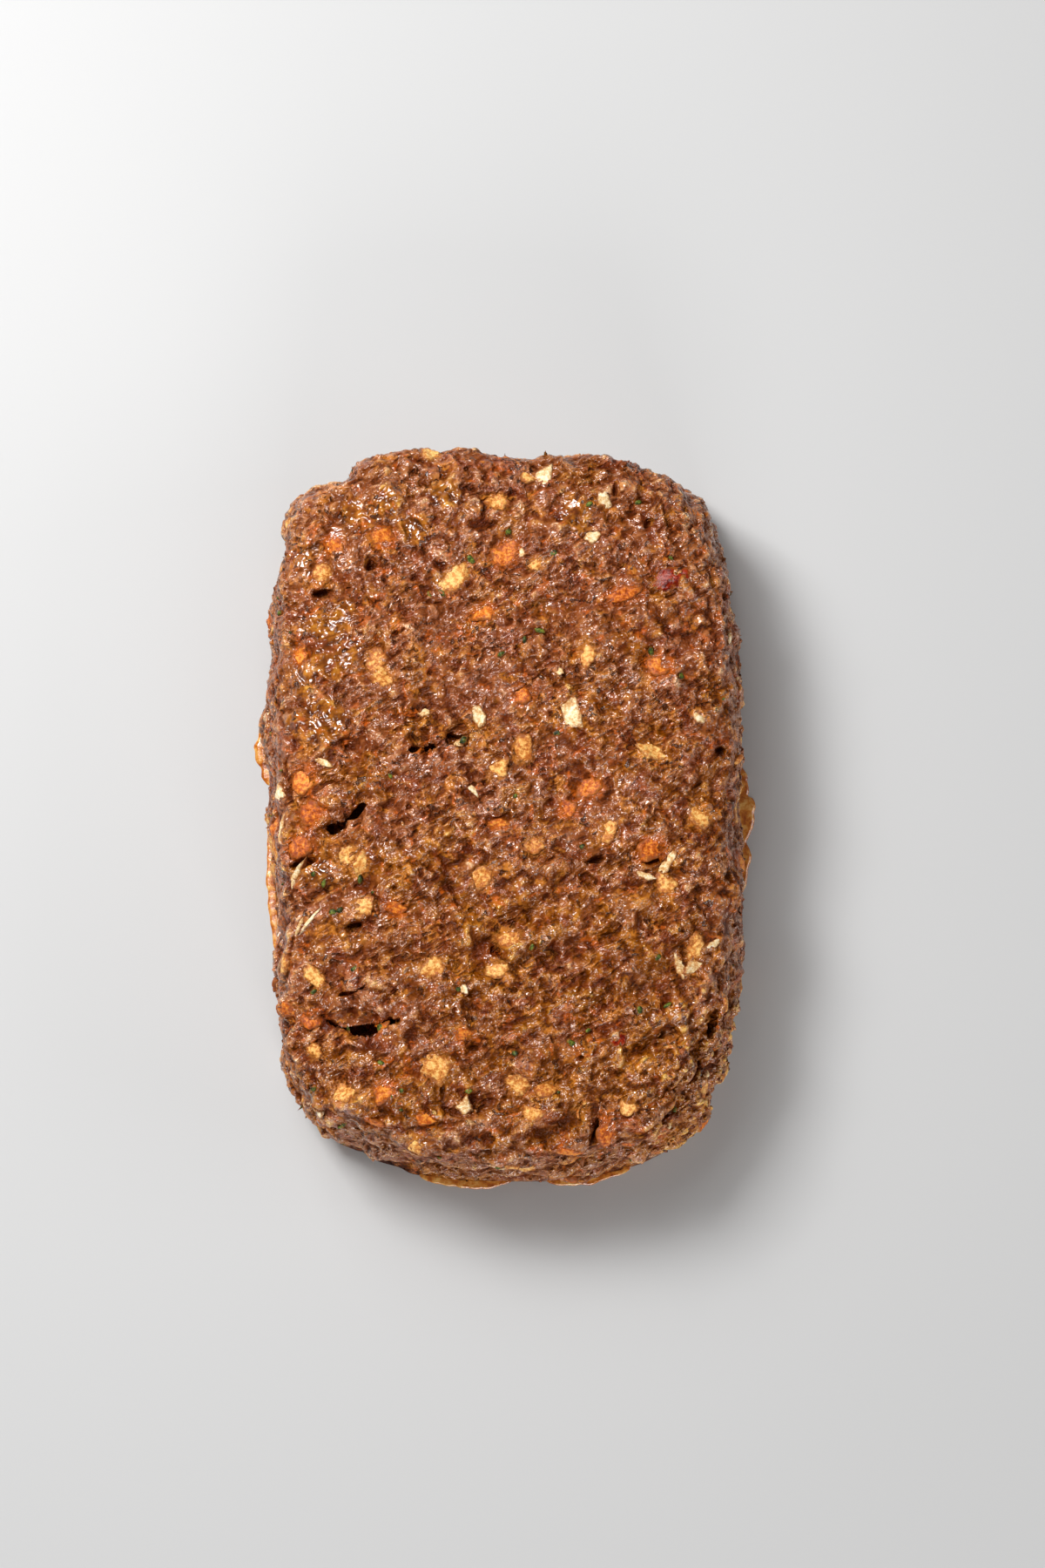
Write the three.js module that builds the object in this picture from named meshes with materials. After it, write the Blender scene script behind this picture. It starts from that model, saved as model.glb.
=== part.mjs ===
// Meatloaf: a free-form loaf of baked ground meat, one solid piece that lies on its flat underside.
// Millimetres, +Z up. The long way is along Y; the squarer end is at +Y and the rounder end at -Y.
// The origin is on the underside, in the middle of the loaf's box.

import * as THREE from "three";

// Driving dimensions
const WIDTH = 149; // along X, at the widest
const LENGTH = 225; // along Y, end to end
const HEIGHT = 52; // underside to crown

// Plan: a superellipse |x/a|^n + |y/b|^n = 1, where a larger n makes squarer corners
const BACK_SQUARENESS = 4.1;
const FRONT_SQUARENESS = 3.4;

// Section: insets are measured in from the widest outline, and heights up from the underside
const TOP_INSET = 17; // where the nearly flat top starts to roll over
const TOP_FALL = 3.5; // how far the top has dropped there, below the crown
const SHOULDER = new THREE.Vector2(7.5, 0.86 * HEIGHT);
const FLANK_TOP = new THREE.Vector2(3.4, 0.68 * HEIGHT);
const FLANK_MIDDLE = new THREE.Vector2(1.1, 0.4 * HEIGHT);
const BULGE = new THREE.Vector2(0, 0.15 * HEIGHT);
const FOOT = new THREE.Vector2(3, 0);

// Mesh density: cells across the top each way, and rings from the top's edge down to the foot
const CELLS_X = 40;
const CELLS_Y = 62;
const RINGS = 11;

// Relief of the packed meat, as cell size and height of each layer of noise
const SWELL = { size: 46, height: 1.5 };
const LUMPS = { size: 13, height: 1.5 };
const NUBS = { size: 6, height: 1.1 };
const BASE_BLEND = 7; // the relief fades out over this height above the underside

// Shallow hand-pressed furrows that cross the front half of the top, low left to high right
const FURROW_PITCH = 17;
const FURROW_DEPTH = 0.9;
const FURROW_TURN = THREE.MathUtils.degToRad(28);
const FURROW_Y = { from: -100, full: -80, fading: -30, to: -5 };

// Dents in the outline that run down the flank: place, how far in, and radius
const OUTLINE_DENTS = [
  { x: -52, y: 102, depth: 4, radius: 4 }, // notch between two lumps at the back left corner
  { x: -73, y: -38, depth: 3.5, radius: 30 }, // long hollow in the left flank
  { x: -43, y: -110, depth: 6, radius: 17 }, // rounder front left corner
  { x: 40, y: -112, depth: 2, radius: 11 },
  { x: 44, y: 112, depth: 2.5, radius: 12 },
  { x: 75, y: -66, depth: 2, radius: 10 },
];

// Splits and holes in the top: middle, length, width, depth, and turn in degrees from +X
const SPLIT_BLEND = 6; // they fade out over this height below the shoulder
const SPLITS = [
  { x: -42.5, y: -67.5, length: 25, width: 6, depth: 6, turn: 0 }, // long crescent split
  { x: -44, y: -57, length: 11, width: 5, depth: 3.5, turn: 22 },
  { x: -46.5, y: -6.5, length: 12, width: 5.5, depth: 5.5, turn: 28 }, // crevice beside the left shoulder
  { x: -20, y: 15.5, length: 16, width: 5, depth: 4, turn: 8 }, // row of skewer holes
  { x: 23, y: -93, length: 14, width: 5, depth: 5, turn: 74 }, // crack at the front edge
  { x: -47, y: -99, length: 8, width: 6, depth: 4, turn: 30 },
  { x: 60, y: -74, length: 16, width: 5, depth: 3.5, turn: 68 }, // ragged front right shoulder
  { x: 54, y: -92, length: 13, width: 5, depth: 3.5, turn: 52 },
];

const { lerp, smoothstep } = THREE.MathUtils;

// A repeatable number from -1 to 1 for one corner of a cubic lattice
function latticeValue(i, j, k) {
  let h = Math.imul(i, 374761393) ^ Math.imul(j, 668265263) ^ Math.imul(k, 1274126177);
  h = Math.imul(h ^ (h >>> 13), 1274126177);
  return ((h ^ (h >>> 16)) >>> 0) / 2147483647.5 - 1;
}

// Smooth value noise from -1 to 1 with the given cell size
function noise(point, cell) {
  const scaled = [point.x / cell, point.y / cell, point.z / cell];
  const corner = scaled.map(Math.floor);
  const [u, v, w] = scaled.map((value, axis) => smoothstep(value - corner[axis], 0, 1));
  const [i, j, k] = corner;
  const row = (dj, dk) => lerp(latticeValue(i, j + dj, k + dk), latticeValue(i + 1, j + dj, k + dk), u);
  return lerp(lerp(row(0, 0), row(1, 0), v), lerp(row(0, 1), row(1, 1), v), w);
}

// Rounded lumps with creases between them, from -1 in a crease to 1 on a lump
function lumps(point, cell) {
  return 2 * Math.sqrt(Math.abs(noise(point, cell))) - 1;
}

// How far a dent pulls the outline in at this place
function outlineDent(x, y) {
  return OUTLINE_DENTS.reduce((sum, dent) => {
    const away = Math.hypot(x - dent.x, y - dent.y) / dent.radius;
    return sum + dent.depth * Math.exp(-away * away);
  }, 0);
}

// Depth of the splits at this place on the top: full along the middle line, tapering to the ends
function splitDepth(x, y) {
  return SPLITS.reduce((deepest, split) => {
    const turn = THREE.MathUtils.degToRad(split.turn);
    const dx = x - split.x;
    const dy = y - split.y;
    const along = (dx * Math.cos(turn) + dy * Math.sin(turn)) / (0.5 * split.length);
    const across = (dy * Math.cos(turn) - dx * Math.sin(turn)) / (0.5 * split.width);
    const away = along * along + across * across;
    return Math.max(deepest, split.depth * Math.exp(-away * away));
  }, 0);
}

// Depth of the furrows at this place on the top
function furrowDepth(x, y) {
  const inFront = smoothstep(y, FURROW_Y.from, FURROW_Y.full);
  const behind = smoothstep(y, FURROW_Y.fading, FURROW_Y.to);
  const across = (y * Math.cos(FURROW_TURN) - x * Math.sin(FURROW_TURN)) / FURROW_PITCH;
  return FURROW_DEPTH * inFront * (1 - behind) * (0.5 + 0.5 * Math.cos(2 * Math.PI * across)) ** 3;
}

// A point of the plan at the given inset: u and v run from -1 to 1 over a square that becomes the outline
function planPoint(u, v, inset) {
  const reach = Math.max(Math.abs(u), Math.abs(v));
  if (reach === 0) return new THREE.Vector2(0, 0);
  const n = lerp(FRONT_SQUARENESS, BACK_SQUARENESS, smoothstep(v / reach, -1, 1));
  const corner = ((Math.abs(u) / reach) ** n + (Math.abs(v) / reach) ** n) ** (-1 / n);
  const rounding = lerp(1, corner, reach * reach);
  const x = (0.5 * WIDTH - inset) * u * rounding;
  const y = (0.5 * LENGTH - inset) * v * rounding;
  const pull = 1 - (outlineDent(x, y) * reach) / Math.hypot(x, y, 1);
  return new THREE.Vector2(x * pull, y * pull);
}

// The smooth loaf: a grid over the top, rings down to the foot, and a flat underside
function smoothLoaf() {
  const points = [];
  const faces = [];
  for (let j = 0; j <= CELLS_Y; j += 1) {
    for (let i = 0; i <= CELLS_X; i += 1) {
      const u = (2 * i) / CELLS_X - 1;
      const v = (2 * j) / CELLS_Y - 1;
      const place = planPoint(u, v, TOP_INSET);
      const fall = TOP_FALL * Math.max(Math.abs(u), Math.abs(v)) ** 2;
      points.push(new THREE.Vector3(place.x, place.y, HEIGHT - fall));
    }
  }
  const index = (i, j) => j * (CELLS_X + 1) + i;
  for (let j = 0; j < CELLS_Y; j += 1) {
    for (let i = 0; i < CELLS_X; i += 1) {
      const [a, b, c, d] = [index(i, j), index(i + 1, j), index(i + 1, j + 1), index(i, j + 1)];
      faces.push([a, b, c], [a, c, d]);
    }
  }

  // The edge of the top, anticlockwise from above
  const edge = [];
  for (let i = 0; i < CELLS_X; i += 1) edge.push([i, 0]);
  for (let j = 0; j < CELLS_Y; j += 1) edge.push([CELLS_X, j]);
  for (let i = CELLS_X; i > 0; i -= 1) edge.push([i, CELLS_Y]);
  for (let j = CELLS_Y; j > 0; j -= 1) edge.push([0, j]);

  const start = new THREE.Vector2(TOP_INSET, HEIGHT - TOP_FALL);
  const section = new THREE.SplineCurve([start, SHOULDER, FLANK_TOP, FLANK_MIDDLE, BULGE, FOOT]);
  let inner = edge.map(([i, j]) => index(i, j));
  for (const ringPlace of section.getSpacedPoints(RINGS).slice(1)) {
    const outer = edge.map(([i, j]) => {
      const place = planPoint((2 * i) / CELLS_X - 1, (2 * j) / CELLS_Y - 1, ringPlace.x);
      points.push(new THREE.Vector3(place.x, place.y, ringPlace.y));
      return points.length - 1;
    });
    inner.forEach((above, n) => {
      const next = (n + 1) % inner.length;
      faces.push([above, outer[n], outer[next]], [above, outer[next], inner[next]]);
    });
    inner = outer;
  }

  const foot = inner.map((n) => new THREE.Vector2(points[n].x, points[n].y));
  for (const [a, b, c] of THREE.ShapeUtils.triangulateShape(foot, [])) {
    faces.push([inner[a], inner[c], inner[b]]);
  }

  const geometry = new THREE.BufferGeometry().setFromPoints(points);
  geometry.setIndex(faces.flat());
  geometry.computeVertexNormals();
  return geometry;
}

// Height of the relief at a point of the smooth loaf
function relief(point) {
  const onTop = smoothstep(point.z, SHOULDER.y - SPLIT_BLEND, SHOULDER.y);
  const offBase = smoothstep(point.z, 0, BASE_BLEND);
  const packed =
    SWELL.height * noise(point, SWELL.size) +
    LUMPS.height * lumps(point, LUMPS.size) +
    NUBS.height * lumps(point, NUBS.size);
  return offBase * packed - onTop * (splitDepth(point.x, point.y) + furrowDepth(point.x, point.y));
}

// The loaf with its relief, scaled to the driving dimensions and set down on its underside
function loafGeometry() {
  const geometry = smoothLoaf();
  const position = geometry.getAttribute("position");
  const normal = geometry.getAttribute("normal");
  const point = new THREE.Vector3();
  const outward = new THREE.Vector3();
  for (let n = 0; n < position.count; n += 1) {
    point.fromBufferAttribute(position, n);
    outward.fromBufferAttribute(normal, n);
    point.addScaledVector(outward, relief(point));
    position.setXYZ(n, point.x, point.y, Math.max(point.z, 0));
  }
  geometry.computeBoundingBox();
  const box = geometry.boundingBox;
  const middle = box.getCenter(new THREE.Vector3());
  const size = box.getSize(new THREE.Vector3());
  geometry.translate(-middle.x, -middle.y, -box.min.z);
  geometry.scale(WIDTH / size.x, LENGTH / size.y, HEIGHT / size.z);
  geometry.computeVertexNormals();
  return geometry;
}

const meat = new THREE.MeshStandardMaterial({ color: 0x95603c, roughness: 0.5, metalness: 0 });
const loaf = new THREE.Mesh(loafGeometry(), meat);
loaf.name = "loaf";

const meatloaf = new THREE.Group();
meatloaf.add(loaf);

export default meatloaf;
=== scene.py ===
"""A baked meatloaf, lying on a pale floor. The loaf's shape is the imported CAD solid. This script makes its
surface: packed meat with lumps, splits and holes, chopped bread, carrot and onion, herbs, and set juice.

Lengths are in millimetres until a mesh is made, and in metres after that."""

import math

import bmesh
import bpy
import numpy as np
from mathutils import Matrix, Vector
from mathutils.bvhtree import BVHTree


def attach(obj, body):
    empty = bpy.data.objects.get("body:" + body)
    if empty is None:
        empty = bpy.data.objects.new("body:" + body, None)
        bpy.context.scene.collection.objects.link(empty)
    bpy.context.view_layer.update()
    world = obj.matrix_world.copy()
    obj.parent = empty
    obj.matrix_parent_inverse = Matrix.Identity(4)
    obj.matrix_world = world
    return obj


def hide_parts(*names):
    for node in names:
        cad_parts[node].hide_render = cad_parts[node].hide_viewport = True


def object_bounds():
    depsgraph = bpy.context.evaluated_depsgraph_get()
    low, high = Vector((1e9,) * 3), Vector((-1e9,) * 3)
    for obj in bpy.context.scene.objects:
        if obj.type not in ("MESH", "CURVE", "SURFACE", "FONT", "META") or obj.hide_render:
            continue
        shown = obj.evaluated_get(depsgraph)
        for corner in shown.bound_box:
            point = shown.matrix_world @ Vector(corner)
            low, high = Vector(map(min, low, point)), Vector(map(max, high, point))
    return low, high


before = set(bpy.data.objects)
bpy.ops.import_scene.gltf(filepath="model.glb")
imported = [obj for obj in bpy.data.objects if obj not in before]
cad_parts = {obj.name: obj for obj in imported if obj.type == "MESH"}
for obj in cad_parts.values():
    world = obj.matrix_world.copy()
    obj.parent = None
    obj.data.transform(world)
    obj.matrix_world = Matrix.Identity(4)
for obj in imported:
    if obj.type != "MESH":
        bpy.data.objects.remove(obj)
CAD_LOW, CAD_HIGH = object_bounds()
CAD_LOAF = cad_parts["loaf"]

METRES = 0.001
WIDTH, LENGTH, HEIGHT = (side / METRES for side in CAD_HIGH - CAD_LOW)
RANDOM_SEED = 20

# The camera looks down on the loaf from slightly in front of it
CAMERA_DISTANCE = 1500
CAMERA_TILT = math.radians(8.5)
CAMERA_LENS = 115.5
CAMERA_AIM = (5.2, 7.5, 26)

# Grid over the loaf's surface: rays from a core inside the loaf go out to it
SQUARENESS = 3.8
TOP_INSET = 12
CORE_HEIGHT = 0.42 * HEIGHT
TOP_CELL = 0.75
RING_STEP = 0.86
# Section from the top's edge to the foot, as inset from the widest outline and share of the height
SECTION = [(TOP_INSET, 0.91), (7.5, 0.86), (3.4, 0.68), (1.1, 0.4), (0, 0.15), (3, 0)]
SMOOTHING_PASSES = 5
LEVELLING_PASSES = 20

# Layers of the meat's relief, each with its cell size and height. The third number is extra height: for both
# kinds of lumps where the meat is lumpier, and for crumbs and grit where it is torn. Strands have the size of
# a clump, then a width and a height.
SWELLS = (14, 1.7)
BROAD_LUMPS = (9, 0.8, 0.5)
LUMPS = (7, 0.8, 0.6)
CRUMBS = (3.6, 0.5, 0.8)
GRIT = (1.8, 0.2, 0.3)
STRANDS = (9, 1.7, 0.4)
FURROWS = (8, 2.1)
FOLDS = (15, 0.5)
TORN_RIDGES = (3.6, 2.2)
PITS = (6.5, 1.3)
# The way the soft furrows and fibres of the meat run, and that of the torn ridges, in degrees from +X
FURROW_TURN = 28
TORN_TURN = 62
# The furrows are full in front of the first place along Y, and gone behind the second
FURROW_ENDS = (-40, 10)
# Middle of the torn corner, and how far from it the meat is fully torn and whole again
TORN_MIDDLE = (62, -84)
TORN_REACH = (8, 30)
# How far the relief's middle lies below the smooth loaf, how much further on the flanks, and at the two ends
TOP_LOSS = 0.4
FLANK_LOSS = 1.5
END_LOSS = 1.2
# How much the relief is levelled where juice lies and under the chopped pieces, and how far those sit lower
POOL_LEVELLING = 0.5
SEAT_LEVELLING = 0.45
SEAT_DEPTH = 0.35
# The most that the surface rises above the CAD loaf's crown, and how far up from the foot the relief is full
CROWN_RISE = 1.3
FOOT_BLEND = 5

GRAIN_COUNT = 1500
# The seat of a chopped piece ends here, as a share of the way from its middle to its rim
SEAT_EDGE = (0.7, 1.3)
# How far the colour of a piece reaches into the meat, in seats
BREAD_HALO = 1.3
CARROT_HALO = 1.6

# Holes and splits in the top: middle, length, width, depth, turn in degrees from +X, bend of the middle line,
# and taper, positive where the far end is the wider one
HOLES = [
    (-26.8, 14, 3.2, 2.8, 4, 0, 0, 0),
    (-21.4, 14.8, 4.2, 4, 6, 0, 0, 0),
    (-14, 17, 5.6, 4.8, 6, 0, 0, 0),
    (-40, 70, 4, 3.4, 4, 20, 0, 0),
    (-54.5, 61.5, 6, 2.6, 3.5, 5, 0, 0.3),
    (27, -18, 6, 2.4, 3, 20, 0, 0.4),
    (64, 14.5, 4, 3, 3, 0, 0, 0),
    (43, -18.5, 5.5, 2.4, 3, 10, 0, 0.3),
    (-44, -38, 5.5, 3, 3.5, 10, 0, 0),
    (-2.5, -45, 4.5, 2.4, 3, -20, 0, 0),
    (42.5, 82.5, 3.6, 4, 3, 0, 0, 0),
    (-47, -101, 8, 4.5, 4, 30, 0, 0),
    (-59, -19, 6.5, 3, 3.5, 10, 0, 0),
    (-49, -8, 7, 3.6, 5.5, 15, 0, 0),
    (-44.5, -5.2, 9, 2.6, 5.5, 34, -0.6, 0.2),
    (-42, -68, 24, 3, 6.5, 0, -3.4, 0.45),
    (-44, -57, 10, 1.8, 2.2, 22, -1.2, 0.3),
    (26, -98, 9.5, 2.2, 5, 84, 0, -0.2),
    (58, -80, 14, 3, 3, 62, 0, 0.2),
    (62, -66, 10, 3, 2.5, 75, 0, 0),
    (50, -93, 10, 2.6, 2.5, 48, 0, 0),
]

# Parts of the CAD loaf's splits that are filled again, so that only the holes above stay open: middle,
# half length, half width, turn in degrees from +X, and height
FILLS = [
    (-20, 15.5, 8.5, 3.2, 8, 2.4),
    (23, -93, 8, 3.2, 74, 3.2),
    (-42.5, -67.5, 12, 3.4, 0, 2.6),
    (-46.5, -6.5, 6.5, 3.2, 28, 1.8),
    (-44, -57, 6, 3, 22, 1.6),
]

# Lumps and dents of the corners, seen from above: middle, radius, and height, which is negative for a dent
CORNER_LUMPS = [
    (-62, 93, 9, 3.6), (-44, 107, 5, 2.6), (-51, 101, 3.5, -3), (-70, 62, 8, 1.2), (62, 98, 8, 1.6),
    (-38, -110, 6, -1.5), (65, -71, 4, 0.8), (60, -94, 5, 1.2), (69, -82.5, 6, -2),
]

# Chopped pieces seen on the top: middle, length, width, and turn in degrees from +X
BREAD = [
    (-15, 66, 9.5, 6, 42), (-38, 41, 7, 5.5, 100), (-36, 36.5, 7, 5.5, 160), (-54, 67, 6, 5, 80),
    (-2, 89, 5.5, 5, 0), (7, 97, 5, 3.5, 0), (9, 70, 5, 4, 30), (24, 43, 8, 5, 95),
    (5.5, 14, 7.5, 6, 100), (-2, 7.5, 5.5, 4.5, 20), (43, 14, 5.5, 4.5, 0), (30, -10, 6.5, 5.5, 60),
    (8.5, -14.5, 6, 5.5, 0), (58, -5, 7.5, 6, 10), (47.5, -26, 6, 4.5, 20), (-6.5, -23.5, 7, 6, 80),
    (1, -41, 7.5, 6, 20), (-2.5, -50.5, 7, 5.5, 0), (-21, -50, 7, 5.5, 35), (-46, -17, 6.5, 5, 30),
    (-42, -20, 6.5, 4.5, 80), (-42, -32, 8, 5, 20), (-20, -79, 8, 7, 60), (3.5, -84, 6.5, 5, -30),
    (12.5, -85.5, 6.5, 4, 5), (23, -90, 5.5, 4.5, 80), (36, -90.5, 5.5, 4, 0), (8, -93, 5.5, 4, 0),
    (56, -44, 8, 4.5, 80), (66, -58, 5.5, 4, 60), (-56, -74, 5.5, 4.5, 0), (-47, -87, 7, 5, 0),
    (-27, -102, 8, 4, 85), (-55.5, -53, 7.5, 4, -60),
]
CARROT = [
    (-36, 78, 6.5, 5.5, 0), (-51, 76, 6, 5, 0), (-60.5, 43, 5, 4, 60), (-6.5, 55.5, 5.5, 5, 10),
    (0, 73, 7, 6, 30), (45.5, 39.5, 7.5, 6.5, 0), (5, 30.5, 5.5, 5, 20), (25, 3, 7, 5.5, 30),
    (18.5, -3.5, 5, 4.5, 0), (-2, -8, 5, 3, -10), (43, -15, 7.5, 6, 20), (-60, 6, 7.5, 6, 80),
    (-57, -4.5, 8, 7, 60), (-60, -14, 7, 6, 30), (-32, -33, 5.5, 4.5, 0), (-11.5, -70.5, 5, 4, 0),
    (-35, -66.5, 4.5, 3, 20), (-64, -62, 5.5, 4, 20), (-57.5, -65.5, 5, 4, 0), (-35, -86, 6, 4.5, 30),
    (-38, -96, 5, 4, 0), (-23, -94.5, 5, 4, 0), (29.8, -99, 9.5, 4.8, 98), (35, 60.5, 10, 4.5, 15),
]
ONION = [
    (11.5, 97, 7.5, 3.8, 100), (29.5, 89, 6, 3.8, 120), (26, 78, 5, 3.5, 20), (19.5, 24.5, 9, 5, -60),
    (-7.5, 24, 7, 4.2, -70), (57.5, 24, 4.5, 2.6, -30), (47.5, -19, 8, 3, 60), (42, -23, 6, 2, -20),
    (51.5, -49, 7, 2.6, -70), (56, -49.5, 5.5, 3, 10), (61.5, -43, 6.5, 2, 25), (-53.5, 10.5, 5.5, 2, -25),
    (-66, -8, 8.5, 2.2, -75), (-61, -23, 9, 1, 52), (-57, -36, 10, 0.9, 48), (-60, -38, 7, 0.8, 58),
    (-13.2, 16, 2.6, 2.4, 40), (4.5, 73.5, 3, 2.5, 0), (-9, 2, 3, 1.6, -40),
]
PEPPER = [(50, 66, 9.5, 5.5, 10), (48, 64, 5, 4, 60), (33, -71, 6, 4, 30)]
# Herb flecks on the top, by their middles
HERB = [
    (25, 88), (39.5, 89), (1, 80), (14.5, 73), (-2, 73), (10.5, 49.5), (6, 47), (-1, 42.5), (43, 43.5),
    (15.5, 19), (22.5, -14.5), (-10, 71.5), (-19, 61.5), (-56, -22.5), (-53, -25), (-50.5, -33.5),
    (-42.5, -24), (-44, -50.5), (-56, -57), (-36, -68.5), (-36, -78), (-48, -96), (-41, -98), (-18.5, -81.5),
    (-10.5, -86), (8, -44), (45, -47), (39.5, -62.5), (47.5, -61), (19.5, -72),
]

# Runs of set juice along the foot: side, start and end along it, and reach
JUICE_RUNS = [
    ("left", 10, 38, 4.6), ("left", -42, 8, 2.2), ("right", -22, 18, 4.4), ("front", -26, 2, 2),
    ("front", 12, 38, 1.8), ("back", -12, 9, 2.5),
]
# Section of a run of juice: place outward of the foot, as millimetres and a share of the reach, and height
JUICE_SECTION = [(-2, 0, 0), (-2, 0, 0.8), (0, 0, 0.4), (0, 0.7, 0.35), (0, 1, 0.12), (0, 1, 0)]
# Pools of shiny juice on the top: middle and radius
WET = [
    (-52, 52, 9), (-51, 43, 9), (-46, 46, 5), (-45, 86, 6), (-41, 83, 5), (-27, 81, 6), (-18, 91, 6),
    (-61, 73, 6), (-54, 23, 9), (-56, -21, 5), (20, 84, 7), (-35, 88, 6), (-60, 33, 6),
]
# The meat is browner towards the front and the right
BROWNED_LEAN = np.array([0.007, -0.008, 0])


# ---------------------------------------------------------------- noise

# The last number of each call of these functions, and of those made from them, is a seed.

def lattice(i, j, k, seed):
    """Repeatable numbers from 0 to 1, one for each corner of a cubic lattice."""
    mixed = (i * 374761393 + j * 668265263 + k * 2147483647 + seed * 974711) & 0xFFFFFFFF
    mixed = mixed.astype(np.uint32)
    mixed = (mixed ^ (mixed >> np.uint32(13))) * np.uint32(1274126177)
    mixed = mixed ^ (mixed >> np.uint32(16))
    return mixed / 4294967296.0


def noise(points, cell, seed=0):
    """Smooth gradient noise from about -1 to 1 with the given cell size."""
    scaled = points / cell
    corner = np.floor(scaled).astype(np.int64)
    part = scaled - corner
    fade = part**3 * (part * (part * 6 - 15) + 10)
    total = np.zeros(len(points))
    for step in np.ndindex(2, 2, 2):
        i, j, k = (corner + step).T
        weight = np.prod(np.where(step, fade, 1 - fade), axis=1)
        slope = np.stack([lattice(i, j, k, seed * 3 + axis) for axis in range(3)], axis=1) * 2 - 1
        total += weight * ((part - step) * slope).sum(axis=1)
    return total * 1.7


def cells(points, cell, seed=0):
    """Distance to the nearest and second nearest of scattered centres, and a number for the nearest one."""
    scaled = points / cell
    corner = np.floor(scaled).astype(np.int64)
    first = np.full(len(points), 9.0)
    second = np.full(len(points), 9.0)
    label = np.zeros(len(points))
    for step in np.ndindex(3, 3, 3):
        place = corner + step - 1
        i, j, k = place.T
        jitter = np.stack([lattice(i, j, k, seed * 5 + axis) for axis in range(3)], axis=1)
        away = np.linalg.norm(place + jitter - scaled, axis=1)
        closer = away < first
        second = np.where(closer, first, np.minimum(second, away))
        label = np.where(closer, lattice(i, j, k, seed * 5 + 4), label)
        first = np.minimum(first, away)
    return first, second, label


def smoothstep(value, low, high):
    """An even rise from 0 at low to 1 at high."""
    part = np.clip((value - low) / (high - low), 0, 1)
    return part * part * (3 - 2 * part)


# ---------------------------------------------------------------- meshes

def vertex_normals(points, quads):
    """Unit normals of a mesh of quads."""
    a, b, c, d = (points[quads[:, n]] for n in range(4))
    across = np.cross(c - a, d - b)
    normals = np.stack(
        [
            np.bincount(quads.ravel(), np.repeat(across[:, axis], 4), len(points))
            for axis in range(3)
        ],
        axis=1,
    )
    return normals / np.maximum(np.linalg.norm(normals, axis=1, keepdims=True), 1e-12)


def smoothed(values, quads, passes):
    """Values at the vertices, evened out over their neighbours."""
    starts = quads.ravel()
    ends = np.roll(quads, -1, axis=1).ravel()
    starts, ends = np.concatenate([starts, ends]), np.concatenate([ends, starts])
    count = np.maximum(np.bincount(starts, minlength=len(values)), 1)
    for _ in range(passes):
        columns = values.reshape(len(values), -1).T
        sums = [np.bincount(starts, column[ends], len(values)) / count for column in columns]
        values = 0.5 * values + 0.5 * np.stack(sums, axis=1).reshape(values.shape)
    return values


def make_piece(name, points, faces, material, attributes=()):
    """A smooth-shaded mesh that rides on the loaf's body."""
    mesh = bpy.data.meshes.new(name)
    mesh.from_pydata((points * METRES).tolist(), [], faces)
    for key, values in attributes:
        layer = mesh.attributes.new(key, "FLOAT_COLOR", "POINT")
        layer.data.foreach_set("color", values.astype(np.float32).ravel())
    mesh.shade_smooth()
    mesh.materials.append(material)
    piece = bpy.data.objects.new(name, mesh)
    bpy.context.scene.collection.objects.link(piece)
    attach(piece, "root")
    return piece


# ---------------------------------------------------------------- the loaf's smooth surface

def plan(u, v, inset):
    """Places in the plan for a square from -1 to 1, pushed into the loaf's rounded outline."""
    reach = np.maximum(np.abs(u), np.abs(v))
    safe = np.maximum(reach, 1e-9)
    corner = ((np.abs(u) / safe) ** SQUARENESS + (np.abs(v) / safe) ** SQUARENESS) ** (-1 / SQUARENESS)
    corner = np.where(reach > 0, corner, 1)
    rounding = 1 + (corner - 1) * reach**2
    return (WIDTH / 2 - inset) * u * rounding, (LENGTH / 2 - inset) * v * rounding


def section_rays():
    """Directions from the core to evenly spaced points of the section, as outward and upward parts."""
    inset, share = np.array(SECTION).T
    outward, upward = TOP_INSET - inset, share * HEIGHT - CORE_HEIGHT
    run = np.concatenate([[0], np.cumsum(np.hypot(np.diff(outward), np.diff(upward)))])
    steps = np.linspace(0, run[-1], round(run[-1] / RING_STEP) + 1)[1:]
    return np.stack([np.interp(steps, run, outward), np.interp(steps, run, upward)], axis=1)


def cast_to_cad(tree, starts, directions):
    """Where rays from inside the CAD loaf leave it."""
    hits = np.empty_like(starts)
    for n, (start, direction) in enumerate(zip(starts.tolist(), directions.tolist())):
        hit = tree.ray_cast(start, direction)[0]
        hits[n] = hit if hit is not None else start
    return hits


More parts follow.
